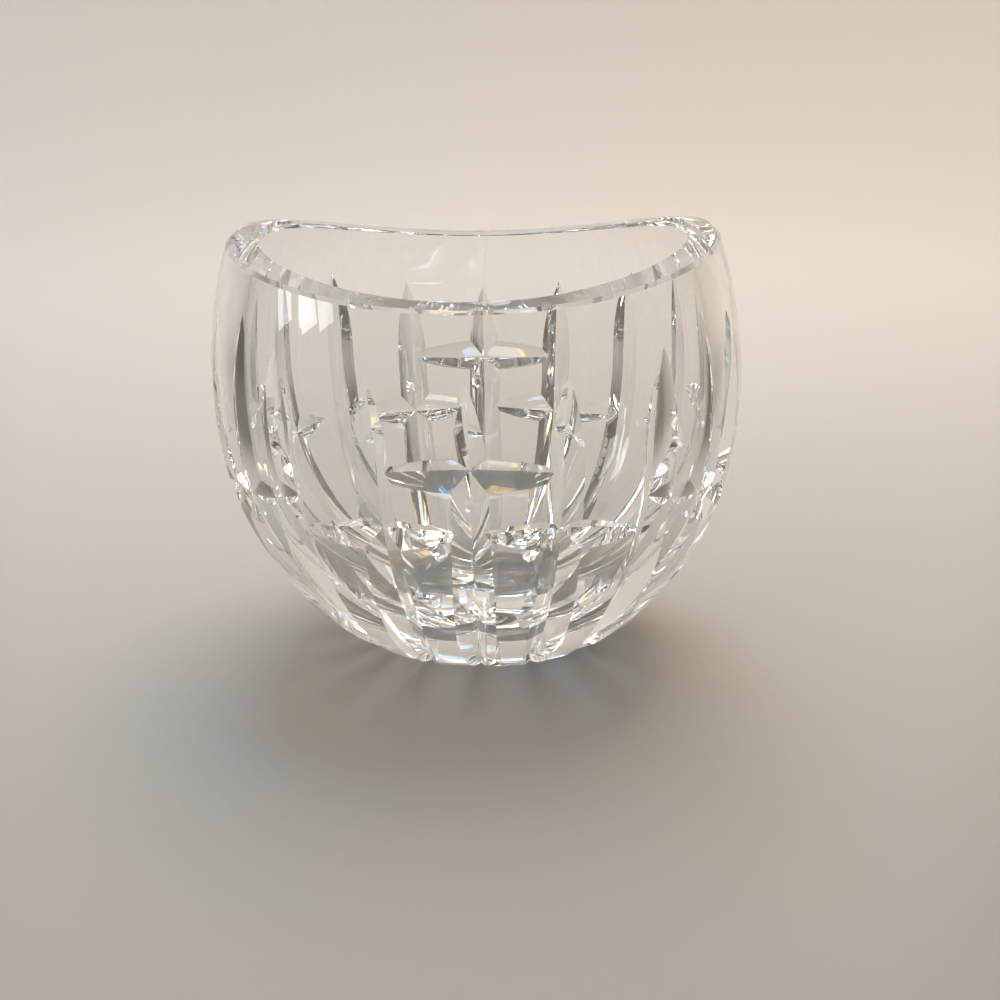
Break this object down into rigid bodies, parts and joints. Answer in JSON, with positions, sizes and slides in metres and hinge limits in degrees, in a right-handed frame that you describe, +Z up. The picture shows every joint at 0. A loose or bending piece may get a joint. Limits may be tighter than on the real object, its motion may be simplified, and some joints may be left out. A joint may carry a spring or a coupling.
{
  "type": "rose bowl vase",
  "caption": "Oval rose bowl vase of clear cut glass with a heavy base, a saddle-shaped ground rim, upright mitre cuts all round and level mitre cuts across them; holds cut flowers.",
  "frame": {"origin": "middle of the flat foot, on the surface that the bowl stands on", "axes": "+Z up the bowl's axis, +X across the bowl's long way towards an end, -Y to the front"},
  "size_m": [0.1498, 0.096, 0.1313],
  "materials": {
    "lead_crystal": "clear lead crystal, polished walls and mitre cuts, ground and polished rim"
  },
  "bodies": {
    "root": {"rose_bowl": "lead_crystal"}
  },
  "joints": []
}
